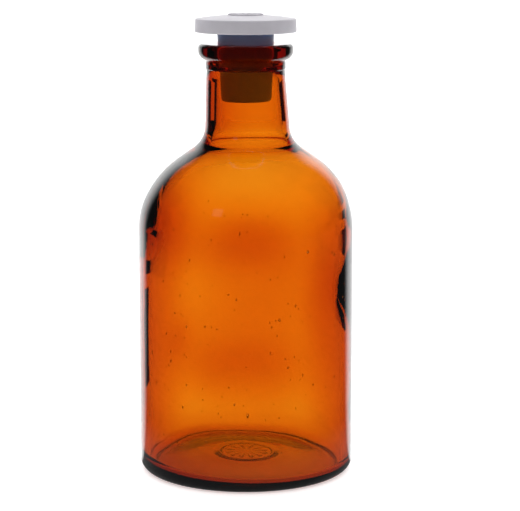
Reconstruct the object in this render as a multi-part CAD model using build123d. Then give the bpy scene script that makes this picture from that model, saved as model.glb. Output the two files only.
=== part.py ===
from build123d import *
import os
from math import atan2, radians, tan

# Narrow-neck reagent bottle, 250 ml, in moulded glass, with a two-piece plastic stopper for a 19/26 taper.
#
# The bottle is one moulding: a straight round body on a narrow bearing ring, a pushed-up base,
# a round shoulder, a neck that widens slightly downwards, a transfer ring and a thick rounded lip.
# Its mouth is a 1:10 taper as deep as the lip and the ring; below them the bore is wider.
# The stopper is a hollow tapered plug, closed at its lower end, and a cored disc with a spigot
# that snaps into the plug's open top. The disc's top is slightly domed, with a plain raised pattern.
#
# Millimetres. +Z is up, on the axis of the bottle. The origin is the centre of the bearing ring.

# Glass, outside
BODY_R = 35.0
GLASS_H = 140.0
HEEL_ROUND = 3.5
SHOULDER_CORNER_Z = 94.4
SHOULDER_ROUND = 27.8
NECK_ROOT_R = 13.95
NECK_ROOT_Z = 109.0
NECK_ROOT_ROUND = 8.9
NECK_TOP_R = 12.7
RING_R = 12.95
RING_H = 2.8
RING_STEP = 0.3
LIP_R = 15.4
LIP_H = 5.5
LIP_UNDER_RISE = 1.4
LIP_UNDER_ROUND = 3.0
LIP_TOP_ROUND = 1.3

# Glass, inside
WALL = 2.8
NECK_WALL = 2.4
NECK_ROOT_IN_ROUND = 3.0
SEAT_STEP = 1.3
MOUTH_ROUND = 0.5

# Base: the bearing ring, the push-up inside it, and the moulded marks under it
BEARING_IN_R = 28.0
BEARING_ROUND = 8.0
PUSH_UP = 3.0
PUSH_UP_FLAT_R = 12.0
PUSH_UP_ROUND = 60.0
BASE_THICK = 4.0
INNER_HEEL_ROUND = 5.5
BASE_MARK_H = 0.4
BASE_RING_R = 9.0
BASE_RING_W = 0.8
BASE_STUD_R = 0.6
BASE_STUD_PITCH_R = 6.2
BASE_STUD_COUNT = 12

# Stopper and its seat: a 1:10 taper on diameter, so the radius grows by 0.05 mm for each mm of height
TAPER = 0.05
PLUG_TIP_R = 8.1
PLUG_TIP_Z = 121.5
PLUG_TIP_ROUND = 1.2
PLUG_WALL = 1.5
SEAT_CLEARANCE = 0.04

# The disc's spigot and the snap bead that holds it in the plug
SPIGOT_R = 7.5
SPIGOT_WALL = 1.3
SPIGOT_DEPTH = 8.0
SPIGOT_CLEARANCE = 0.02
SOCKET_SPARE = 0.5
SNAP_H = 1.2
SNAP_DEPTH = 0.3
SNAP_DROP = 5.5

# The disc on top of the plug
CAP_R = 16.45
CAP_DRAFT = 0.2
CAP_UNDER_Z = 143.65
CAP_EDGE_H = 4.35
CAP_EDGE_ROUND = 0.4
CAP_DOME_H = 1.2
CAP_DOME_CORNER_R = 8.2
CAP_DOME_ROUND = 100.0
CAP_PLATE = 2.0
CAP_SKIRT = 1.7
RIB_COUNT = 8
RIB_THICK = 1.0
RIB_GAP = 0.3
RIB_RECESS = 0.8

# Raised pattern on the disc: an outer ring, radial bars and a small centre ring
MARK_H = 0.4
MARK_RING_R = 5.7
MARK_RING_W = 0.6
MARK_BAR_R = 3.4
MARK_BAR_L = 2.2
MARK_BAR_W = 0.7
MARK_BAR_COUNT = 12
MARK_DOT_R = 1.1

# Small roundings that many corners share, and how far raised marks and ribs run into their solid
FINE = 0.1
EDGE = 0.3
ROOT = 0.4

# Heights that the glass and the stopper share
LIP_UNDER_Z = GLASS_H - LIP_H
RING_UNDER_Z = LIP_UNDER_Z - RING_H
CAP_EDGE_Z = CAP_UNDER_Z + CAP_EDGE_H
CAP_TOP_Z = CAP_EDGE_Z + CAP_DOME_H
PLATE_Z = CAP_EDGE_Z - CAP_PLATE
SNAP_Z = PLATE_Z - SNAP_DROP


def turned(*corners):
    """A solid turned about Z. Each corner of its closed half-section is (radius, height, rounding)."""
    points = [(radius, 0, height) for radius, height, _ in corners]
    rounds = [rounding for _, _, rounding in corners]
    return revolve(make_face(FilletPolyline(*points, radius=rounds, close=True)), Axis.Z)


def tube(outer, inner, low, high):
    """A plain upright ring."""
    return Pos(0, 0, low) * extrude(Circle(outer) - Circle(inner), high - low)


def around(count, solid):
    """Copies of a solid, evenly spaced about Z."""
    return [Rot(0, 0, 360 * step / count) * solid for step in range(count)]


def taper_radius(height):
    """Radius of the stopper's taper at a height."""
    return PLUG_TIP_R + TAPER * (height - PLUG_TIP_Z)


def glass_outside():
    """Corners from the middle of the push-up, round the bearing ring and up to the mouth."""
    return [
        (0, PUSH_UP, 0),
        (PUSH_UP_FLAT_R, PUSH_UP, PUSH_UP_ROUND),
        (BEARING_IN_R, 0, BEARING_ROUND),
        (BODY_R, 0, HEEL_ROUND),
        (BODY_R, SHOULDER_CORNER_Z, SHOULDER_ROUND),
        (NECK_ROOT_R, NECK_ROOT_Z, NECK_ROOT_ROUND),
        (NECK_TOP_R, RING_UNDER_Z, FINE),
        (RING_R, RING_UNDER_Z + RING_STEP, FINE),
        (RING_R, LIP_UNDER_Z - RING_STEP, FINE),
        (NECK_TOP_R, LIP_UNDER_Z, FINE),
        (LIP_R, LIP_UNDER_Z + LIP_UNDER_RISE, LIP_UNDER_ROUND),
        (LIP_R, GLASS_H, LIP_TOP_ROUND),
    ]


def glass_inside():
    """Corners from the mouth down its taper, the neck, the shoulder and the wall to the floor."""
    # The shoulder's two faces are parallel: its inner corner lies on the line that halves the turn
    slope = atan2(NECK_ROOT_Z - SHOULDER_CORNER_Z, BODY_R - NECK_ROOT_R)
    half_turn = (radians(90) - slope) / 2
    wall_r = BODY_R - WALL
    root_r = NECK_ROOT_R - NECK_WALL
    shoulder_z = SHOULDER_CORNER_Z - WALL * tan(half_turn)
    root_z = shoulder_z + (wall_r - root_r) * tan(slope)
    return [
        (taper_radius(GLASS_H) + SEAT_CLEARANCE, GLASS_H, MOUTH_ROUND),
        (taper_radius(RING_UNDER_Z) + SEAT_CLEARANCE, RING_UNDER_Z, SEAT_STEP / 2),
        (NECK_TOP_R - NECK_WALL, RING_UNDER_Z - SEAT_STEP, SEAT_STEP),
        (root_r, root_z, NECK_ROOT_IN_ROUND),
        (wall_r, shoulder_z, SHOULDER_ROUND - WALL),
        (wall_r, BASE_THICK, INNER_HEEL_ROUND),
        (PUSH_UP_FLAT_R, PUSH_UP + BASE_THICK, PUSH_UP_ROUND),
        (0, PUSH_UP + BASE_THICK, 0),
    ]


def glass_bottle():
    """The whole glass moulding, with raised marks under its base that stay clear of the table."""
    low = PUSH_UP - BASE_MARK_H
    high = PUSH_UP + ROOT
    stud = Pos(BASE_STUD_PITCH_R, 0, low) * extrude(Circle(BASE_STUD_R), high - low)
    glass = turned(*glass_outside(), *glass_inside())
    glass += tube(BASE_RING_R, BASE_RING_R - BASE_RING_W, low, high)
    return glass + around(BASE_STUD_COUNT, stud)


def snap(radius):
    """Corners of the snap bead, or of its groove, on a wall at a radius, from the top down."""
    return [
        (radius, SNAP_Z + SNAP_H / 2, FINE),
        (radius + SNAP_DEPTH, SNAP_Z, FINE),
        (radius, SNAP_Z - SNAP_H / 2, FINE),
    ]


def stopper_plug():
    """The hollow tapered plug. Its open top holds the disc's spigot."""
    socket_r = SPIGOT_R + SPIGOT_CLEARANCE
    socket_z = PLATE_Z - SPIGOT_DEPTH - SOCKET_SPARE
    hollow_z = socket_z - 2 * SOCKET_SPARE
    return turned(
        (0, PLUG_TIP_Z, 0),
        (PLUG_TIP_R, PLUG_TIP_Z, PLUG_TIP_ROUND),
        (taper_radius(PLATE_Z), PLATE_Z, FINE),
        (socket_r, PLATE_Z, EDGE),
        *snap(socket_r),
        (socket_r, socket_z, EDGE),
        (taper_radius(hollow_z) - PLUG_WALL, hollow_z, EDGE),
        (PLUG_TIP_R - PLUG_WALL, PLUG_TIP_Z + PLUG_WALL, PLUG_TIP_ROUND),
        (0, PLUG_TIP_Z + PLUG_WALL, 0),
    )


def cap_shell():
    """The disc's domed plate, its skirt, and the spigot under it."""
    spigot_in_r = SPIGOT_R - SPIGOT_WALL
    spigot_end = PLATE_Z - SPIGOT_DEPTH
    skirt_r = CAP_R - CAP_SKIRT
    return turned(
        (0, CAP_TOP_Z, 0),
        (CAP_DOME_CORNER_R, CAP_TOP_Z, CAP_DOME_ROUND),
        (CAP_R - CAP_DRAFT, CAP_EDGE_Z, CAP_EDGE_ROUND),
        (CAP_R, CAP_UNDER_Z, CAP_EDGE_ROUND),
        (skirt_r, CAP_UNDER_Z, EDGE),
        (skirt_r - FINE, PLATE_Z, EDGE),
        (SPIGOT_R, PLATE_Z, 0),
        *snap(SPIGOT_R),
        (SPIGOT_R, spigot_end, EDGE),
        (spigot_in_r, spigot_end, EDGE),
        (spigot_in_r, PLATE_Z, EDGE),
        (0, PLATE_Z, 0),
    )


def cap_rib():
    """One radial rib under the plate, from just outside the plug's rim into the skirt."""
    start = taper_radius(PLATE_Z) + RIB_GAP
    end = CAP_R - CAP_SKIRT + ROOT
    low = CAP_UNDER_Z + RIB_RECESS
    high = PLATE_Z + ROOT
    rib = Box(end - start, RIB_THICK, high - low)
    return Pos((start + end) / 2, 0, (low + high) / 2) * rib


def cap_pattern():
    """The raised pattern on the disc, as separate solids that run into the dome."""
    low = CAP_TOP_Z - ROOT
    high = CAP_TOP_Z + MARK_H
    bar = Pos(MARK_BAR_R, 0, (low + high) / 2) * Box(MARK_BAR_L, MARK_BAR_W, high - low)
    rings = [
        tube(MARK_RING_R, MARK_RING_R - MARK_RING_W, low, high),
        tube(MARK_DOT_R, MARK_DOT_R - MARK_RING_W, low, high),
    ]
    return rings + around(MARK_BAR_COUNT, bar)


def stopper_cap():
    """The whole disc."""
    return cap_shell() + around(RIB_COUNT, cap_rib()) + cap_pattern()


os.makedirs("parts", exist_ok=True)
for make in (glass_bottle, stopper_plug, stopper_cap):
    export_step(make(), f"parts/{make.__name__}.step")
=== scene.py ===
import random
from math import atan2, ceil, cos, exp, pi, radians, sin, tan

import bmesh
import bpy
from mathutils import Matrix, Vector, noise

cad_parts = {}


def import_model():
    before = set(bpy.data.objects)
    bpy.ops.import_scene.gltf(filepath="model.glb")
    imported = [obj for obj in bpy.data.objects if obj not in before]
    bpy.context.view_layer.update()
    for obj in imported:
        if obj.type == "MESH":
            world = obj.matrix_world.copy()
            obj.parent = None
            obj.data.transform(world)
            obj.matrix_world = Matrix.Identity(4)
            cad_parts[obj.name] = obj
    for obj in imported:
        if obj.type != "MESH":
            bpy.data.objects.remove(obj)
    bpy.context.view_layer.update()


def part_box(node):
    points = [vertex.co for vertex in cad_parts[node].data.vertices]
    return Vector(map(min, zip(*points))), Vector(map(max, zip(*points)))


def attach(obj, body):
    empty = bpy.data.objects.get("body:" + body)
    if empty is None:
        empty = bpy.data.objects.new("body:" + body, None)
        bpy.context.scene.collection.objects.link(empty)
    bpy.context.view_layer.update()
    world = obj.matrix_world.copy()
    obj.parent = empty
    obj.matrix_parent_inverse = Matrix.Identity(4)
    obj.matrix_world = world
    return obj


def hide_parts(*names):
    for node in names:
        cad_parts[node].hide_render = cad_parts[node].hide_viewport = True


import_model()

MM = 0.001


# ---------------------------------------------------------------- sizes, in millimetres


def heights(node):
    """Lowest and highest Z of a CAD node, and its largest radius."""
    low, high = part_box(node)
    return low.z / MM, high.z / MM, high.x / MM


_, GLASS_H, BODY_R = heights("glass_bottle")
PLUG_TIP_Z, PLATE_Z, _ = heights("stopper_plug")
SPIGOT_END_Z, MARK_TOP_Z, _ = heights("stopper_cap")

# Glass, outside
LIP_H, LIP_R = 5.5, 15.4
LIP_UNDER_RISE, LIP_UNDER_ROUND, LIP_TOP_ROUND = 1.4, 3.0, 1.3
RING_H, RING_R, RING_STEP = 2.8, 12.95, 0.3
NECK_TOP_R = 12.7
NECK_ROOT_R, NECK_ROOT_Z, NECK_ROOT_ROUND = 13.95, 109.0, 8.9
SHOULDER_CORNER_Z, SHOULDER_ROUND = 94.4, 27.8
HEEL_ROUND = 3.5
BEARING_IN_R, BEARING_ROUND = 28.0, 8.0
PUSH_UP, PUSH_UP_FLAT_R, PUSH_UP_ROUND = 3.0, 12.0, 60.0
LIP_UNDER_Z = GLASS_H - LIP_H
RING_UNDER_Z = LIP_UNDER_Z - RING_H

# Glass, inside: the mouth and its seat, the bore and its flare at the root, the shoulder, the wall, the floor
MOUTH_ROUND, SEAT_STEP = 0.5, 1.3
NECK_WALL = 2.9
NECK_FLARE_R, NECK_FLARE_Z, NECK_FLARE_ROUND = 10.75, 114.5, 12.0
NECK_ROOT_IN_R, NECK_ROOT_IN_Z, NECK_ROOT_IN_ROUND = 12.8, 106.6, 1.5
SHOULDER_MID_R, SHOULDER_MID_WALL, SHOULDER_MID_ROUND = 19.0, 2.4, 15.0
SHOULDER_WALL = 1.8
WALL = 2.8
INNER_HEEL_ROUND, BASE_THICK = 3.5, 2.1

# The floor tilts down towards +X, by this much at the body's radius. The tilt is in full up to a height and
# fades out over some more.
FLOOR_TILT, FLOOR_TILT_Z, FLOOR_TILT_FADE = 0.9, 6, 12

# The wall's unevenness fades in over this height above the floor, and out over as much below the neck's root
WALL_FADE, WALL_FADE_TOP_Z = 8.0, 110.0

# Marks under the base: a ring, a circle of studs, and the fine teeth of the bearing ring
BASE_MARK_H = 0.4
BASE_RING_R, BASE_RING_W = 9.0, 0.8
STUD_COUNT, STUD_R, STUD_PITCH_R = 12, 0.6, 6.2
TEETH_OUT_R, TEETH_IN_R, TEETH_DEPTH = 31.6, 29.4, 0.12
# The mesh's rings lie this close together at the ring and the studs, and up to a margin past them
MARK_GRAIN, MARK_MARGIN = 0.22, 1.0

# Mould seams: two fine ridges up the sides, turned a little off the X axis
SEAM_TURN, SEAM_H, SEAM_W = 8, 0.05, 0.12
SEAM_ANGLES = [radians(SEAM_TURN), radians(SEAM_TURN) + pi]
SEAM_STEPS = [-0.3, -0.12, 0, 0.12, 0.3]

# The outside's waves: features round the body, height of a feature, depth, and where in the noise they start.
# They fade in over a height above the heel, and out over a radius outside the neck's root.
WAVE_LOBES, WAVE_TALL, WAVE_DEPTH, WAVE_START = 2.2, 18, 0.05, 7
WAVE_FADE_Z, WAVE_FADE_R = 6, 4

# Small bubbles in the wall: their heights, depths under the outside, radii, and how far they are drawn out.
# This share of them is of common size, and the others are larger.
BUBBLE_COUNT, BUBBLE_SEED = 200, 11
BUBBLE_Z = 12, 84
BUBBLE_DEPTH = 0.5, WALL - 1.3
BUBBLE_R = 0.14, 0.27
BUBBLE_STRETCH = 1.0, 2.2
COMMON_SHARE, LARGER = 0.85, 1.4

# Stopper
TAPER = 0.05
PLUG_TIP_R, PLUG_TIP_ROUND = 8.1, 1.2
SEAT_CLEARANCE = 0.04
PLUG_WALL = 1.5
SPIGOT_R, SPIGOT_WALL, SPIGOT_CLEARANCE, SOCKET_SPARE = 7.5, 1.3, 0.02, 0.5
SNAP_H, SNAP_DEPTH, SNAP_DROP = 1.2, 0.3, 5.5
MARK_H = 0.4
CAP_TOP_Z = MARK_TOP_Z - MARK_H
CAP_DOME_H, CAP_DOME_CORNER_R, CAP_DOME_ROUND = 1.2, 8.2, 100.0
CAP_EDGE_Z = CAP_TOP_Z - CAP_DOME_H
CAP_EDGE_H, CAP_EDGE_ROUND = 4.35, 0.4
CAP_UNDER_Z = CAP_EDGE_Z - CAP_EDGE_H
CAP_R, CAP_DRAFT, CAP_SKIRT = 16.45, 0.2, 1.7
SNAP_Z = PLATE_Z - SNAP_DROP
RIB_COUNT, RIB_THICK, RIB_GAP, RIB_RECESS = 8, 1.0, 0.3, 0.8
GATE_R, GATE_DEPTH = 0.45, 0.15

# Raised pattern on the disc
MARK_RING_R, MARK_RING_W = 5.7, 0.6
MARK_BAR_COUNT, MARK_BAR_R, MARK_BAR_L, MARK_BAR_W = 12, 3.4, 2.2, 0.7
MARK_DOT_R = 1.1

# Roundings that many corners share, and how far marks and ribs run into the solid
FINE = 0.1
BAR_ROUND = 0.15
EDGE = 0.3
ROOT = 0.4


def taper_radius(height):
    """Radius of the stopper's 1:10 taper at a height."""
    return PLUG_TIP_R + TAPER * (height - PLUG_TIP_Z)


# ---------------------------------------------------------------- turned shapes

ARC_STEP = radians(6)
SHORTEST, LONGEST, LONGEST_ARC = 0.2, 2.8, 1.3
STEPS, STOPPER_STEPS, MARK_STEPS = 240, 192, 96
SHARP_ANGLE = radians(40)


def bell(distance, size):
    """1 at no distance, and near 0 from three sizes on."""
    return exp(-((distance / size) ** 2) / 2)


def plateau(distance, half_width, edge):
    """1 within the half width, falling smoothly to 0 over the edge."""
    t = min(1, max(0, (half_width + edge - distance) / edge))
    return t * t * (3 - 2 * t)


def arc(before, here, after, rounding):
    """Points of the rounding at a corner between its two neighbours."""
    back = (before - here).normalized()
    ahead = (after - here).normalized()
    half = back.angle(ahead) / 2
    centre = here + (back + ahead).normalized() * rounding / sin(half)
    start = here + back * rounding / tan(half) - centre
    end = here + ahead * rounding / tan(half) - centre
    turn = start.angle_signed(end)
    length = abs(turn) * rounding
    steps = max(2, ceil(length / LONGEST_ARC), min(ceil(abs(turn) / ARC_STEP), ceil(length / SHORTEST)))
    points = []
    for k in range(steps + 1):
        part = turn * k / steps
        swing = Matrix(((cos(part), sin(part)), (-sin(part), cos(part))))
        points.append(centre + swing @ start)
    return points


def rounded(corners, longest=None):
    """Half-section points (radius, height) from corners (radius, height, rounding). Longer runs are divided
    to at most LONGEST, or to what longest(middle) gives."""
    places = [Vector(corner[:2]) for corner in corners]
    points = []
    for i, (_, _, rounding) in enumerate(corners):
        if rounding:
            points += arc(places[i - 1], places[i], places[(i + 1) % len(places)], rounding)
        else:
            points.append(places[i])
    divided = [points[0]]
    for point in points[1:]:
        before = divided[-1]
        limit = longest((before + point) / 2) if longest else LONGEST
        count = max(1, ceil((point - before).length / limit))
        divided += [before.lerp(point, k / count) for k in range(1, count + 1)]
    return divided


def lathe(profile, shift=None, extra_angles=(), closed=False, steps=STEPS):
    """A closed surface turned about Z, with its faces outwards. shift(index, radius, height, angle) moves a
    vertex by (radial, vertical) millimetres. A section that isn't closed starts and ends on the axis."""
    angles = sorted([2 * pi * step / steps for step in range(steps)] + list(extra_angles))
    mesh = bmesh.new()
    rings = []
    for index, (radius, height) in enumerate(profile):
        if radius < 1e-6:
            rings.append([mesh.verts.new((0, 0, height * MM))])
            continue
        ring = []
        for angle in angles:
            out, up = shift(index, radius, height, angle) if shift else (0, 0)
            spot = ((radius + out) * cos(angle), (radius + out) * sin(angle), height + up)
            ring.append(mesh.verts.new(Vector(spot) * MM))
        rings.append(ring)
    pairs = list(zip(rings, rings[1:])) + ([(rings[-1], rings[0])] if closed else [])
    for low, high in pairs:
        for step in range(len(angles)):
            ahead = (step + 1) % len(angles)
            if len(low) == 1:
                mesh.faces.new((low[0], high[ahead], high[step]))
            elif len(high) == 1:
                mesh.faces.new((low[step], low[ahead], high[0]))
            else:
                mesh.faces.new((low[step], low[ahead], high[ahead], high[step]))
    if mesh.calc_volume(signed=True) < 0:
        bmesh.ops.reverse_faces(mesh, faces=mesh.faces)
    return mesh


def piece_of(name, mesh):
    """A smooth-shaded object from a bmesh."""
    data = bpy.data.meshes.new(name)
    mesh.to_mesh(data)
    mesh.free()
    data.shade_smooth()
    piece = bpy.data.objects.new(name, data)
    bpy.context.scene.collection.objects.link(piece)
    return piece


# ---------------------------------------------------------------- the glass


def glass_outside():
    """Corners of the outside, from the middle of the base to the mouth."""
    return [
        (0, PUSH_UP, 0),
        (PUSH_UP_FLAT_R, PUSH_UP, PUSH_UP_ROUND),
        (BEARING_IN_R, 0, BEARING_ROUND),
        (BODY_R, 0, HEEL_ROUND),
        (BODY_R, SHOULDER_CORNER_Z, SHOULDER_ROUND),
        (NECK_ROOT_R, NECK_ROOT_Z, NECK_ROOT_ROUND),
        (NECK_TOP_R, RING_UNDER_Z, FINE),
        (RING_R, RING_UNDER_Z + RING_STEP, FINE),
        (RING_R, LIP_UNDER_Z - RING_STEP, FINE),
        (NECK_TOP_R, LIP_UNDER_Z, FINE),
        (LIP_R, LIP_UNDER_Z + LIP_UNDER_RISE, LIP_UNDER_ROUND),
        (LIP_R, GLASS_H, LIP_TOP_ROUND),
    ]


def glass_inside():
    """Corners of the inside, from the mouth to the middle of the floor."""
    slope = atan2(NECK_ROOT_Z - SHOULDER_CORNER_Z, BODY_R - NECK_ROOT_R)
    wall_r = BODY_R - WALL
    mid_drop = (SHOULDER_MID_R - NECK_ROOT_R) * tan(slope)
    mid_z = NECK_ROOT_Z - mid_drop - SHOULDER_MID_WALL / cos(slope)
    shoulder_drop = (wall_r - NECK_ROOT_R) * tan(slope)
    shoulder_z = NECK_ROOT_Z - shoulder_drop - SHOULDER_WALL / cos(slope)
    seat_end = RING_UNDER_Z + SEAT_STEP
    return [
        (taper_radius(GLASS_H) + SEAT_CLEARANCE, GLASS_H, MOUTH_ROUND),
        (taper_radius(seat_end) + SEAT_CLEARANCE, seat_end, SEAT_STEP / 2),
        (NECK_TOP_R - NECK_WALL, seat_end - SEAT_STEP, SEAT_STEP),
        (NECK_FLARE_R, NECK_FLARE_Z, NECK_FLARE_ROUND),
        (NECK_ROOT_IN_R, NECK_ROOT_IN_Z, NECK_ROOT_IN_ROUND),
        (SHOULDER_MID_R, mid_z, SHOULDER_MID_ROUND),
        (wall_r, shoulder_z, SHOULDER_ROUND - WALL),
        (wall_r, BASE_THICK, INNER_HEEL_ROUND),
        (PUSH_UP_FLAT_R, PUSH_UP + BASE_THICK, PUSH_UP_ROUND),
        (0, PUSH_UP + BASE_THICK, 0),
    ]


# How much thicker the wall is all over than WALL
EXTRA_WALL = 0.05
# Where it is thicker or thinner: (height, degrees left of the back, spread up, spread round, extra)
THICK_SPOTS = [
    (69, 0, 6, 12, 1.5),
    (29, 5, 5, 15, 1.1),
    (54, -52, 15, 11, 0.9),
    (38, 47, 5, 7, 0.9),
    (73, 49, 7, 8, 0.6),
    (54, 29, 12, 9, -0.35),
    (26, 180, 6, 25, -0.5),
    (12, 0, 5, 25, -0.3),
    (86, 90, 9, 20, 1.7),
    (61, -90, 6, 12, 1.1),
]
# The shoulder's wall is thinner: (fades in from this height, to this one, thinner by)
THIN_SHOULDER = 80, 90, 0.6
# On the body the wall is also thinner between the front or back and the sides:
# (how far out to the side, as a part of the radius, spread, thinner by)
THIN_FLANKS = 0.58, 0.18, 0.4
# Ripples of the wall: (features round the body, height of a feature, depth)
RIPPLES = [(1.6, 22, 0.1), (6, 7, 0.02)]

# The neck and the shoulder stand a little off centre on the body, and the bore off centre in the neck:
# (off centre by, in full from this height, to this one, fading out over this much below, and above)
LEAN = 0.5, 98, 112, 12, 19
BORE_LEAN = 0.4, 106, RING_UNDER_Z - 1, 12, 1


def wall_extra(height, angle):
    """How much thicker than WALL the glass is: thick and thin spots, a thin shoulder, slow ripples."""
    left_of_back = angle - pi / 2
    start, full, thinner = THIN_SHOULDER
    extra = EXTRA_WALL - thinner * plateau(full - height, 0, full - start)
    flank, flank_spread, flank_thinner = THIN_FLANKS
    on_body = plateau(height, start, full - start)
    extra -= flank_thinner * bell(abs(cos(angle)) - flank, flank_spread) * on_body
    for spot_z, spot_angle, tall, wide, more in THICK_SPOTS:
        swing = (left_of_back - radians(spot_angle) + pi) % (2 * pi) - pi
        extra += more * bell(height - spot_z, tall) * bell(swing * BODY_R, wide)
    for lobes, tall, depth in RIPPLES:
        extra += depth * noise.noise(Vector((cos(angle) * lobes, sin(angle) * lobes, height / tall)))
    return extra


def off_centre(height, amount, low, high, fade_below, fade_above):
    """An amount in full between two heights, fading out smoothly below and above."""
    return amount * plateau(height, high, fade_above) * plateau(-height, -low, fade_below)


def lean(height):
    """How far the glass is off centre towards +X at a height."""
    return off_centre(height, *LEAN)


def bore_lean(height):
    """How much further off centre the bore is than the outside of the neck."""
    return off_centre(height, *BORE_LEAN)


def skin(height, angle):
    """How far the outside of the body stands out: slightly wavy inwards, with the two seams."""
    spot = Vector((cos(angle) * WAVE_LOBES, sin(angle) * WAVE_LOBES, height / WAVE_TALL + WAVE_START))
    ridge = max(bell((angle - seam) * BODY_R, SEAM_W) for seam in SEAM_ANGLES)
    return SEAM_H * ridge - WAVE_DEPTH * (1 + noise.noise(spot)) / 2


def base_mark(radius, angle):
    """How far a mark stands down under the base, from 0 to 1."""
    ring = plateau(abs(radius - BASE_RING_R + BASE_RING_W / 2), BASE_RING_W / 2 - EDGE / 2, EDGE)
    swing = (angle % (2 * pi / STUD_COUNT)) - pi / STUD_COUNT
    away = (Vector((radius * cos(swing), radius * sin(swing))) - Vector((STUD_PITCH_R, 0))).length
    return max(ring, plateau(away, STUD_R - EDGE / 2, EDGE))


def base_grain(middle):
    """How long a run may be: shorter where the marks are."""
    low = middle.y < PUSH_UP + MARK_MARGIN
    marked = low and STUD_PITCH_R - MARK_MARGIN < middle.x < BASE_RING_R + EDGE
    return MARK_GRAIN if marked else LONGEST


def bottle():
    """The glass: outside and cavity in one turned surface, with bubbles in the wall."""
    profile = rounded(glass_outside() + glass_inside(), base_grain)
    # The inside starts past the mouth's innermost top point
    mouth = max(range(len(profile)), key=lambda i: (round(profile[i].y, 3), -profile[i].x))
    floor_z = PUSH_UP + BASE_THICK
    # Which way the cavity lies from each point of the inside
    cavity_side = {}
    for index in range(mouth + 1, len(profile) - 1):
        along = profile[index + 1] - profile[index - 1]
        cavity_side[index] = Vector((along.y, -along.x)).normalized()

    def shift(index, radius, height, angle):
        if index > mouth:
            aside = (lean(height) + bore_lean(height)) * cos(angle)
            tilted = plateau(height, FLOOR_TILT_Z, FLOOR_TILT_FADE)
            down = FLOOR_TILT * cos(angle) * radius / BODY_R * tilted
            if index not in cavity_side or height < floor_z or height > WALL_FADE_TOP_Z:
                return aside, -down
            fade = min(1, (height - floor_z) / WALL_FADE, (WALL_FADE_TOP_Z - height) / WALL_FADE)
            more = cavity_side[index] * wall_extra(height, angle) * plateau(1 - fade, 0, 1)
            return aside + more.x, more.y - down
        if radius < BASE_RING_R + MARK_MARGIN and height < PUSH_UP + MARK_MARGIN:
            return 0, -BASE_MARK_H * base_mark(radius, angle)
        if TEETH_IN_R < radius < TEETH_OUT_R and height < MARK_MARGIN:
            tooth = round(angle / (2 * pi) * STEPS) % 2
            return 0, TEETH_DEPTH * tooth
        if height > HEEL_ROUND and radius > NECK_ROOT_R:
            fade = min(1, (height - HEEL_ROUND) / WAVE_FADE_Z, (radius - NECK_ROOT_R) / WAVE_FADE_R)
            return skin(height, angle) * fade + lean(height) * cos(angle), 0
        return lean(height) * cos(angle), 0

    seam_rows = [seam + away / BODY_R for seam in SEAM_ANGLES for away in SEAM_STEPS]
    mesh = lathe(profile, shift, seam_rows)
    add_bubbles(mesh)
    return piece_of("bottle_glass", mesh)


def add_bubbles(mesh):
    """Small bubbles in the wall, drawn out upwards. Their faces point into the air inside them."""
    draw = random.Random(BUBBLE_SEED)
    for _ in range(BUBBLE_COUNT):
        angle = draw.uniform(0, 2 * pi)
        height = draw.uniform(*BUBBLE_Z)
        depth = draw.uniform(*BUBBLE_DEPTH)
        size = draw.uniform(*BUBBLE_R) * (1 if draw.random() < COMMON_SHARE else LARGER)
        spot = Matrix.Rotation(angle, 4, "Z") @ Vector((BODY_R - depth, 0, height))
        stretch = Matrix.Diagonal((size, size, size * draw.uniform(*BUBBLE_STRETCH), 1))
        place = Matrix.Scale(MM, 4) @ Matrix.Translation(spot) @ stretch
        made = bmesh.ops.create_icosphere(mesh, subdivisions=2, radius=1, matrix=place)
        faces = {face for vert in made["verts"] for face in vert.link_faces}
        bmesh.ops.reverse_faces(mesh, faces=list(faces))


# ---------------------------------------------------------------- the stopper


def snap(radius):
    """Corners of the snap bead, or of its groove, from the top down."""
    return [
        (radius, SNAP_Z + SNAP_H / 2, FINE),
        (radius + SNAP_DEPTH, SNAP_Z, FINE),
        (radius, SNAP_Z - SNAP_H / 2, FINE),
    ]


def plug():
    """The hollow tapered plug, with the gate's dimple in its lower end."""
    socket_r = SPIGOT_R + SPIGOT_CLEARANCE
    socket_z = SPIGOT_END_Z - SOCKET_SPARE
    hollow_z = socket_z - 2 * SOCKET_SPARE
    corners = [
        (0, PLUG_TIP_Z + GATE_DEPTH, 0),
        (GATE_R, PLUG_TIP_Z + GATE_DEPTH, FINE),
        (2 * GATE_R, PLUG_TIP_Z, FINE),
        (PLUG_TIP_R, PLUG_TIP_Z, PLUG_TIP_ROUND),
        (taper_radius(PLATE_Z), PLATE_Z, FINE),
        (socket_r, PLATE_Z, EDGE),
        *snap(socket_r),
        (socket_r, socket_z, EDGE),
        (taper_radius(hollow_z) - PLUG_WALL, hollow_z, EDGE),
        (PLUG_TIP_R - PLUG_WALL, PLUG_TIP_Z + PLUG_WALL, PLUG_TIP_ROUND),
        (0, PLUG_TIP_Z + PLUG_WALL, 0),
    ]
    return piece_of("plug_moulding", lathe(rounded(corners), steps=STOPPER_STEPS))


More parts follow.
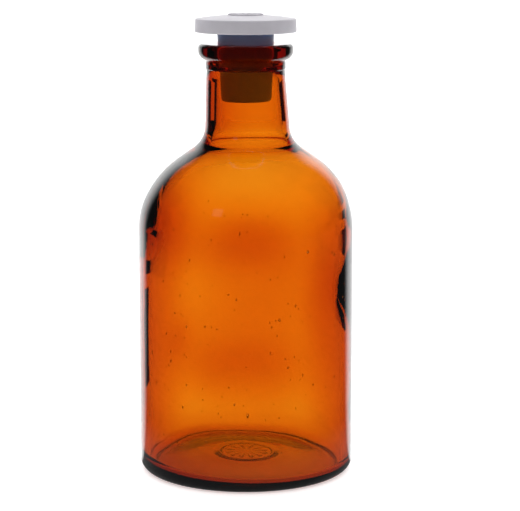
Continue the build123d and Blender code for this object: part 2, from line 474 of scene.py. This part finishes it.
def cap_shell():
    """The disc's domed plate with the gate's dimple, its skirt, and the spigot under it."""
    spigot_in_r = SPIGOT_R - SPIGOT_WALL
    skirt_r = CAP_R - CAP_SKIRT
    corners = [
        (0, CAP_TOP_Z - GATE_DEPTH, 0),
        (GATE_R / 2, CAP_TOP_Z - GATE_DEPTH, FINE),
        (GATE_R, CAP_TOP_Z, FINE),
        (CAP_DOME_CORNER_R, CAP_TOP_Z, CAP_DOME_ROUND),
        (CAP_R - CAP_DRAFT, CAP_EDGE_Z, CAP_EDGE_ROUND),
        (CAP_R, CAP_UNDER_Z, CAP_EDGE_ROUND),
        (skirt_r, CAP_UNDER_Z, EDGE),
        (skirt_r - FINE, PLATE_Z, EDGE),
        (SPIGOT_R, PLATE_Z, 0),
        *snap(SPIGOT_R),
        (SPIGOT_R, SPIGOT_END_Z, EDGE),
        (spigot_in_r, SPIGOT_END_Z, EDGE),
        (spigot_in_r, PLATE_Z, EDGE),
        (0, PLATE_Z, 0),
    ]
    return piece_of("cap_moulding", lathe(rounded(corners), steps=STOPPER_STEPS))


def bar(name, start, end, width, low, high, turn):
    """A radial bar with rounded edges, from one radius to another, turned about Z."""
    mesh = bmesh.new()
    middle = Matrix.Translation(Vector(((start + end) / 2, 0, (low + high) / 2)) * MM)
    size = Matrix.Diagonal((*(Vector((end - start, width, high - low)) * MM), 1))
    bmesh.ops.create_cube(mesh, size=1, matrix=Matrix.Rotation(turn, 4, "Z") @ middle @ size)
    edges = mesh.edges[:]
    bmesh.ops.bevel(mesh, geom=edges, offset=BAR_ROUND * MM, segments=3, affect="EDGES", profile=0.5)
    return piece_of(name, mesh)


def bars(name, count, *sizes):
    """Radial bars evenly spaced about Z."""
    return [bar(f"{name}_{k}", *sizes, 2 * pi * k / count) for k in range(count)]


def raised_ring(name, outer):
    """A raised ring of the pattern."""
    inner = outer - MARK_RING_W
    low, high = CAP_TOP_Z - ROOT, CAP_TOP_Z + MARK_H
    corners = [(inner, low, 0), (outer, low, 0), (outer, high, BAR_ROUND), (inner, high, BAR_ROUND)]
    return piece_of(name, lathe(rounded(corners), closed=True, steps=MARK_STEPS))


def cap():
    """The whole disc, with the ribs under it and the raised pattern on it."""
    parts = [raised_ring("mark_ring", MARK_RING_R), raised_ring("mark_dot", MARK_DOT_R)]
    start, end = taper_radius(PLATE_Z) + RIB_GAP, CAP_R - CAP_SKIRT + ROOT
    parts += bars("rib", RIB_COUNT, start, end, RIB_THICK, CAP_UNDER_Z + RIB_RECESS, PLATE_Z + ROOT)
    start, end = MARK_BAR_R - MARK_BAR_L / 2, MARK_BAR_R + MARK_BAR_L / 2
    low, high = CAP_TOP_Z - ROOT, CAP_TOP_Z + MARK_H
    parts += bars("mark_bar", MARK_BAR_COUNT, start, end, MARK_BAR_W, low, high)
    return united(cap_shell(), parts)


def united(main, parts):
    """One closed surface from a closed one and others that run into it."""
    group = bpy.data.collections.new(f"{main.name}_parts")
    for part in parts:
        group.objects.link(part)
    joint = main.modifiers.new("unite", "BOOLEAN")
    joint.operation = "UNION"
    joint.operand_type = "COLLECTION"
    joint.collection = group
    joint.solver = "EXACT"
    bpy.context.view_layer.update()
    whole = bpy.data.meshes.new_from_object(main.evaluated_get(bpy.context.evaluated_depsgraph_get()))
    main.modifiers.clear()
    main.data = whole
    for part in parts:
        bpy.data.objects.remove(part)
    bpy.data.collections.remove(group)
    whole.shade_smooth()
    whole.set_sharp_from_angle(angle=SHARP_ANGLE)
    return main


# ---------------------------------------------------------------- materials

# Glass: what a depth of it absorbs, and the bands where it is rubbed, as heights in metres
GLASS_COLOUR, GLASS_DENSITY, GLASS_IOR = (0.919, 0.719, 0.093, 1), 1550, 1.52
WORN_ROUGHNESS = 0.18
HEEL_WEAR = 0.0, 0.006
SIDE_WEAR = 0.070, 0.076, 0.080, 0.086

# Plastics: (colour, worn colour, roughness), and how light spreads under their skin
BLUE = (0.17, 0.27, 0.52), (0.28, 0.38, 0.6), 0.36
GREY = (0.57, 0.55, 0.595), (0.66, 0.65, 0.67), 0.42
PLASTIC_IOR, SUBSURFACE, SUBSURFACE_DEPTH = 1.5, 0.6, 0.0012
CLOUD_SHADE = 0.93


def material(name):
    """A new material without nodes."""
    made = bpy.data.materials.new(name)
    made.use_nodes = True
    made.node_tree.nodes.clear()
    return made


def add(tree, kind, **values):
    """A node with its inputs set by name: a value, or another node's output."""
    node = tree.nodes.new(kind)
    for key, value in values.items():
        socket = node.inputs[key.replace("_", " ")]
        if isinstance(value, bpy.types.NodeSocket):
            tree.links.new(value, socket)
        else:
            socket.default_value = value
    return node


def grain(tree, scale, detail=3.0, stretch=(1, 1, 1)):
    """Noise at so many features a metre, stretched along the axes."""
    where = tree.nodes.new("ShaderNodeTexCoord").outputs["Object"]
    placed = add(tree, "ShaderNodeMapping", Vector=where, Scale=stretch)
    return add(tree, "ShaderNodeTexNoise", Vector=placed.outputs[0], Scale=scale, Detail=detail).outputs[0]


def spread(tree, source, low, high, from_value, to_value):
    """A smooth step of a value between two numbers."""
    node = tree.nodes.new("ShaderNodeMapRange")
    node.interpolation_type = "SMOOTHSTEP"
    tree.links.new(source, node.inputs["Value"])
    limits = ("From Min", low), ("From Max", high), ("To Min", from_value), ("To Max", to_value)
    for key, value in limits:
        node.inputs[key].default_value = value
    return node.outputs[0]


def maths(tree, kind, *values):
    """One arithmetic step on values, or on other nodes' outputs."""
    node = tree.nodes.new("ShaderNodeMath")
    node.operation = kind
    for socket, value in zip(node.inputs, values):
        if isinstance(value, bpy.types.NodeSocket):
            tree.links.new(value, socket)
        else:
            socket.default_value = value
    return node.outputs[0]


def product(tree, first, *others):
    """The values multiplied in turn."""
    for other in others:
        first = maths(tree, "MULTIPLY", first, other)
    return first


def band(tree, source, up_from, up_to, down_from, down_to):
    """1 within a band of a value, with a smooth step on each side."""
    rising = spread(tree, source, up_from, up_to, 0, 1)
    return product(tree, rising, spread(tree, source, down_from, down_to, 1, 0))


def mixed(tree, factor, no, yes, kind="RGBA"):
    """A mix of two colours, or of two numbers."""
    node = tree.nodes.new("ShaderNodeMix")
    node.data_type = kind
    first = 6 if kind == "RGBA" else 2
    for index, value in zip((0, first, first + 1), (factor, no, yes)):
        if isinstance(value, bpy.types.NodeSocket):
            tree.links.new(value, node.inputs[index])
        elif kind == "RGBA" and index:
            node.inputs[index].default_value = (*value, 1)
        else:
            node.inputs[index].default_value = value
    return node.outputs[2 if kind == "RGBA" else 0]


def length_of(tree, vector):
    """The length of a vector."""
    node = tree.nodes.new("ShaderNodeVectorMath")
    node.operation = "LENGTH"
    tree.links.new(vector, node.inputs[0])
    return node.outputs["Value"]


def height_of(tree):
    """The height in the object's own frame, in metres."""
    where = tree.nodes.new("ShaderNodeTexCoord").outputs["Object"]
    return add(tree, "ShaderNodeSeparateXYZ", Vector=where).outputs["Z"]


def amber_glass():
    """Amber glass that absorbs light through its depth, with streaks, rubbed bands and a fine ripple."""
    made = material("amber_glass")
    tree = made.node_tree
    out = tree.nodes.new("ShaderNodeOutputMaterial")
    streaks = spread(tree, grain(tree, 45, 2, (1, 1, 0.25)), 0.35, 0.7, 0, 1)
    tint = mixed(tree, streaks, (1, 1, 1), (1, 0.99, 0.97))
    # Rubbed bands where bottles touch each other and the shelf, broken up into fine scratches
    scratches = spread(tree, grain(tree, 2600, 4, (1, 1, 0.12)), 0.6, 0.74, 0, 1)
    patches = spread(tree, grain(tree, 160, 3), 0.45, 0.65, 0, 1)
    high = height_of(tree)
    heel = spread(tree, high, *HEEL_WEAR, 1, 0)
    rubbed = maths(tree, "MAXIMUM", heel, band(tree, high, *SIDE_WEAR))
    worn = product(tree, rubbed, product(tree, scratches, patches))
    ripple = add(tree, "ShaderNodeBump", Strength=0.25, Distance=0.00003, Height=grain(tree, 300, 2))
    shader = add(
        tree,
        "ShaderNodeBsdfPrincipled",
        Base_Color=tint,
        Roughness=product(tree, worn, WORN_ROUGHNESS),
        IOR=GLASS_IOR,
        Normal=ripple.outputs[0],
    )
    shader.inputs["Transmission Weight"].default_value = 1
    depth = add(tree, "ShaderNodeVolumeAbsorption", Color=GLASS_COLOUR, Density=GLASS_DENSITY)
    tree.links.new(shader.outputs[0], out.inputs["Surface"])
    tree.links.new(depth.outputs[0], out.inputs["Volume"])
    return made


def plastic(name, colour, worn_colour, roughness):
    """Moulded polyethylene: cloudy colour, a fine eroded skin, rubbed edges and hairline scratches."""
    made = material(name)
    tree = made.node_tree
    out = tree.nodes.new("ShaderNodeOutputMaterial")
    cloudy = spread(tree, grain(tree, 130, 3), 0.3, 0.7, 0, 1)
    darker = tuple(CLOUD_SHADE * value for value in colour)
    base = mixed(tree, cloudy, darker, colour)
    edges = spread(tree, tree.nodes.new("ShaderNodeNewGeometry").outputs["Pointiness"], 0.53, 0.6, 0, 0.55)
    rubbed = product(tree, edges, spread(tree, grain(tree, 900, 3), 0.4, 0.6, 0.3, 1))
    skin_noise = grain(tree, 3200, 2)
    scratches = spread(tree, grain(tree, 1400, 3, (1, 0.06, 1)), 0.62, 0.72, 0, 1)
    rough = maths(tree, "ADD", roughness, product(tree, skin_noise, 0.12))
    rough = maths(tree, "ADD", rough, product(tree, scratches, 0.1))
    relief = maths(tree, "SUBTRACT", skin_noise, product(tree, scratches, 0.4))
    bumps = add(tree, "ShaderNodeBump", Strength=0.35, Distance=0.00004, Height=relief)
    shader = add(
        tree,
        "ShaderNodeBsdfPrincipled",
        Base_Color=mixed(tree, rubbed, base, worn_colour),
        Roughness=rough,
        IOR=PLASTIC_IOR,
        Normal=bumps.outputs[0],
    )
    shader.inputs["Subsurface Weight"].default_value = SUBSURFACE
    shader.inputs["Subsurface Radius"].default_value = (1, 1, 1)
    shader.inputs["Subsurface Scale"].default_value = SUBSURFACE_DEPTH
    tree.links.new(shader.outputs[0], out.inputs["Surface"])
    return made


# ---------------------------------------------------------------- pieces


def place(piece, surface, body, node, slot):
    """Give a piece its material, hang it on its body, and hide the CAD node that it stands in for. slot is
    not used.
    """
    piece.data.materials.clear()
    piece.data.materials.append(surface)
    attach(piece, body)
    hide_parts(node)


blue = plastic("blue_plastic", *BLUE)
grey = plastic("grey_plastic", *GREY)
place(bottle(), amber_glass(), "bottle", "glass_bottle", "amber_glass")
place(plug(), blue, "stopper", "stopper_plug", "blue_plastic")
place(cap(), grey, "stopper", "stopper_cap", "grey_plastic")


# ---------------------------------------------------------------- studio

# Brightness of what is white, and of what is kept dark
WHITE, DARK, DARK_TOP, DARK_MIRRORED = 1.5, 0.05, 0.15, 0.03
# How brightly plastic is lit from above, and how much more where it is seen through the glass
TOP_LIGHT, THROUGH_GLASS = 0.9, 0.9

# Where the world changes, as parts of a direction upwards, sideways or backwards: a step from one to another,
# or a band of two such steps
TOP_UP = 0.6, 0.85
FLAG_ASIDE, FLAG_BACK, FLAG_UP = (0.72, 0.8, 0.92, 0.97), (0.05, 0.15), (-0.2, -0.17)
MIRRORED_BACK = 0.62, 0.86
LIT_BACK, LIT_UP = (0.0, 0.6), (0.35, 0.6)

# Floor: its extent (left, right, front, back) in metres, its colour and its own light
FLOOR_EXTENT = -0.5, 0.5, -0.25, 4.0
FLOOR_COLOUR, FLOOR_GLOW = (0.9, 0.9, 0.9, 1), 0.45
# What mirror reflections see of it: how far it lies lower and reaches forward, the slant of the bright
# wedge's sides and where the wedge starts, and the dim rest's steps outwards and their brightness
MIRRORED_Z, MIRRORED_FRONT = -0.0002, -1
WEDGE_SLANT, WEDGE_START = (0.65, 1.2), (0, 0.01)
REST_STEP, REST_NEAR, REST_FAR = (0.05, 0.1), 0.2, 0.04

# Black cards: (name, how far behind the bottle, corners across and up), in metres
CARDS = [
    ("card_low_left", 0.1, [(-0.084, 0), (-0.125, 0), (-0.125, 0.04), (-0.084, 0.04)]),
    ("card_low_right", 0.25, [(0.18, 0), (0.35, 0), (0.35, 0.035), (0.18, 0.035)]),
    ("card_left", 0.4, [(-0.27, 0.012), (-0.55, 0.012), (-0.55, 0.06), (-0.27, 0.06)]),
    ("card_right", 0.4, [(0.25, 0.062), (0.53, 0.05), (0.53, 0.15), (0.25, 0.15)]),
    (
        "card_high_left",
        0.4,
        [(-0.045, 0.066), (-0.225, 0.066), (-0.26, 0.1), (-0.55, 0.1), (-0.55, 0.4), (-0.045, 0.4)],
    ),
]
# They show to light that has crossed fewer faces of the glass than this
CROSSINGS = 3

# The softbox points at this height on the axis, in metres
AIM_Z = 0.1

# Camera: its place in metres, how far down it looks in degrees, its lens and sensor in millimetres
CAMERA_PLACE, CAMERA_DOWN = (0.0046, -0.6285, 0.1793), 9.796
LENS, SENSOR = 134.76, 36

BOUNCES = 32


def world():
    """White all round for what is seen directly. Through the glass it is white but for the top, and a dark
    flag on each side behind the bottle. Mirror reflections see a white backdrop only behind the bottle, and
    diffuse light comes from behind and above."""
    made = bpy.data.worlds.new("studio")
    bpy.context.scene.world = made
    made.use_nodes = True
    tree = made.node_tree
    tree.nodes.clear()
    out = tree.nodes.new("ShaderNodeOutputWorld")
    ray = tree.nodes.new("ShaderNodeLightPath")
    where = tree.nodes.new("ShaderNodeTexCoord").outputs["Generated"]
    split = add(tree, "ShaderNodeSeparateXYZ", Vector=where)
    high, back = split.outputs["Z"], split.outputs["Y"]
    seen = spread(tree, high, *TOP_UP, WHITE, DARK_TOP)
    aside = maths(tree, "ABSOLUTE", split.outputs["X"])
    behind = spread(tree, back, *FLAG_BACK, 0, 1)
    above = spread(tree, high, *FLAG_UP, 0, 1)
    flagged = product(tree, band(tree, aside, *FLAG_ASIDE), behind, above)
    seen = mixed(tree, flagged, seen, DARK, "FLOAT")
    seen = mixed(tree, ray.outputs["Is Camera Ray"], seen, WHITE, "FLOAT")
    mirrored = spread(tree, back, *MIRRORED_BACK, DARK_MIRRORED, WHITE)
    from_behind = spread(tree, back, *LIT_BACK, DARK, WHITE)
    lit = maths(tree, "ADD", from_behind, spread(tree, high, *LIT_UP, 0, TOP_LIGHT))
    strength = mixed(tree, ray.outputs["Is Reflection Ray"], seen, mirrored, "FLOAT")
    after_matte = maths(tree, "MINIMUM", ray.outputs["Diffuse Depth"], 1)
    lit = maths(tree, "ADD", lit, product(tree, ray.outputs["Is Transmission Ray"], THROUGH_GLASS))
    strength = mixed(tree, after_matte, strength, lit, "FLOAT")
    shine = add(tree, "ShaderNodeBackground", Color=(1, 1, 1, 1), Strength=strength)
    tree.links.new(shine.outputs[0], out.inputs["Surface"])


def studio_sheet(name, corners, hidden_from, shader_kind, **values):
    """A flat sheet of the studio with one plain shader, hidden from some kinds of ray. Returns its node
    tree, the shader and the output."""
    mesh = bpy.data.meshes.new(name)
    mesh.from_pydata(corners, [], [tuple(range(len(corners)))])
    piece = bpy.data.objects.new(name, mesh)
    bpy.context.scene.collection.objects.link(piece)
    for rays in hidden_from:
        setattr(piece, f"visible_{rays}", False)
    made = material(name)
    tree = made.node_tree
    out = tree.nodes.new("ShaderNodeOutputMaterial")
    shader = add(tree, shader_kind, **values)
    tree.links.new(shader.outputs[0], out.inputs["Surface"])
    mesh.materials.append(made)
    return tree, shader, out


def floor():
    """The pale floor, softly lit from within as a light table, and what mirror reflections see of it:
    bright in a wedge behind the bottle, dim elsewhere."""
    left, right, front, back = FLOOR_EXTENT
    corners = [(left, front, 0), (right, front, 0), (right, back, 0), (left, back, 0)]
    tree, matte, out = studio_sheet("floor", corners, ["glossy"], "ShaderNodeBsdfDiffuse", Color=FLOOR_COLOUR)
    glow = add(tree, "ShaderNodeEmission", Strength=FLOOR_GLOW)
    both = tree.nodes.new("ShaderNodeAddShader")
    tree.links.new(matte.outputs[0], both.inputs[0])
    tree.links.new(glow.outputs[0], both.inputs[1])
    tree.links.new(both.outputs[0], out.inputs["Surface"])

    near, low = MIRRORED_FRONT, MIRRORED_Z
    wide = [(-back, near, low), (back, near, low), (back, back, low), (-back, back, low)]
    rays = ["camera", "diffuse", "transmission", "shadow"]
    tree, sheen, _ = studio_sheet("floor_mirrored", wide, rays, "ShaderNodeEmission")
    spot = tree.nodes.new("ShaderNodeTexCoord").outputs["Object"]
    where = add(tree, "ShaderNodeSeparateXYZ", Vector=spot)
    away = where.outputs["Y"]
    sideways = maths(tree, "SUBTRACT", maths(tree, "ABSOLUTE", where.outputs["X"]), BODY_R * MM)
    slant = maths(tree, "DIVIDE", sideways, maths(tree, "MAXIMUM", away, 1e-5))
    wedge = product(tree, spread(tree, slant, *WEDGE_SLANT, 1, 0), spread(tree, away, *WEDGE_START, 0, 1))
    rest = spread(tree, length_of(tree, spot), *REST_STEP, REST_NEAR, REST_FAR)
    strength = mixed(tree, wedge, rest, WHITE, "FLOAT")
    tree.links.new(strength, sheen.inputs["Strength"])


def black_card(name, away, corners):
    """A black card behind the bottle that makes the dark lines at the glass's edges. It shows only to light
    that has stayed inside one stretch of wall, and so entered and left the glass once. Light that crosses
    the wall twice or more goes through the card."""
    rays = ["camera", "diffuse", "glossy", "shadow"]
    spots = [(across, away, high) for across, high in corners]
    tree, black, out = studio_sheet(name, spots, rays, "ShaderNodeEmission", Strength=0)
    crossings = tree.nodes.new("ShaderNodeLightPath").outputs["Transmission Depth"]
    once = maths(tree, "LESS_THAN", crossings, CROSSINGS)
    clear = tree.nodes.new("ShaderNodeBsdfTransparent")
    either = add(tree, "ShaderNodeMixShader", Fac=once)
    tree.links.new(clear.outputs[0], either.inputs[1])
    tree.links.new(black.outputs[0], either.inputs[2])
    tree.links.new(either.outputs[0], out.inputs["Surface"])


def softbox(turn, rise, away, size, strength):
    """A small light in front, seen only as a highlight, turned leftwards from the camera's side."""
    level = cos(radians(rise))
    toward = Vector((-sin(radians(turn)) * level, -cos(radians(turn)) * level, sin(radians(rise))))
    across = toward.cross(Vector((0, 0, 1))).normalized() * size / 2
    upward = across.cross(toward).normalized() * size / 2
    middle = Vector((0, 0, AIM_Z)) + toward * away
    corners = [middle + x * across + y * upward for x, y in ((-1, -1), (1, -1), (1, 1), (-1, 1))]
    rays = ["camera", "diffuse", "transmission", "shadow"]
    studio_sheet("softbox", corners, rays, "ShaderNodeEmission", Strength=strength)


def camera():
    """The camera at the photograph's viewing angle, with its lens."""
    data = bpy.data.cameras.new("camera")
    data.sensor_width = SENSOR
    data.lens = LENS
    data.clip_start, data.clip_end = 0.01, 50
    piece = bpy.data.objects.new("camera", data)
    bpy.context.scene.collection.objects.link(piece)
    piece.location = CAMERA_PLACE
    piece.rotation_euler = (radians(90 - CAMERA_DOWN), 0, 0)
    bpy.context.scene.camera = piece


world()
floor()
for card in CARDS:
    black_card(*card)
softbox(turn=34, rise=31, away=1.0, size=0.18, strength=0.5)
camera()
scene = bpy.context.scene
scene.view_settings.view_transform = "Standard"
scene.cycles.max_bounces = BOUNCES
scene.cycles.transmission_bounces = BOUNCES
